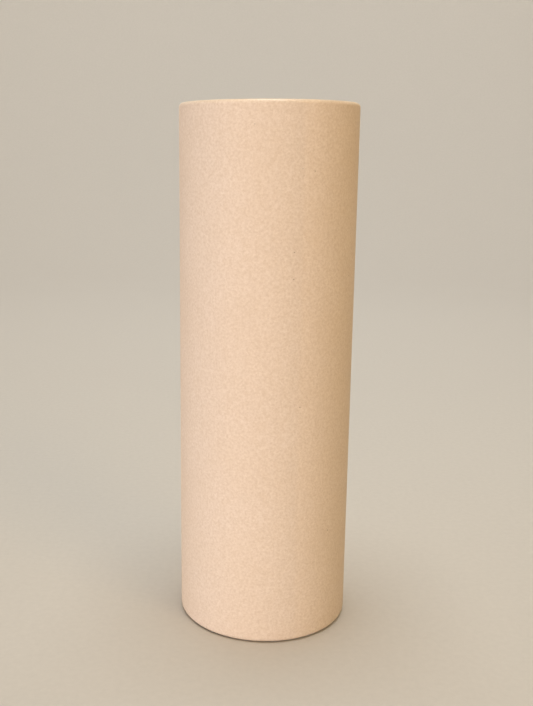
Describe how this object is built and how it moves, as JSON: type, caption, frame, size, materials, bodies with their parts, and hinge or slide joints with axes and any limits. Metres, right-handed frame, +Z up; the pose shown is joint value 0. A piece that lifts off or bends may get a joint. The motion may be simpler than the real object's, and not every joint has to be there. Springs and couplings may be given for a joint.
{
  "type": "cylinder vase",
  "caption": "Tall straight-sided cylinder vase, three times as high as wide: clear glass vessel with a thick base, full-round lip and matt cream lacquer outside.",
  "frame": {"origin": "centre of the foot ring, in the plane that the vase stands on", "axes": "+Z up along the vase's own axis, out of its mouth; the vase is round, so +X and +Y are any two level directions"},
  "size_m": [0.1, 0.1, 0.3],
  "materials": {
    "clear_glass": "polished, faint green soda-lime tint",
    "matt_lacquer": "sprayed, dead matt, warm cream"
  },
  "bodies": {
    "root": {"glass_body": "clear_glass", "matt_coat": "matt_lacquer"}
  },
  "joints": []
}
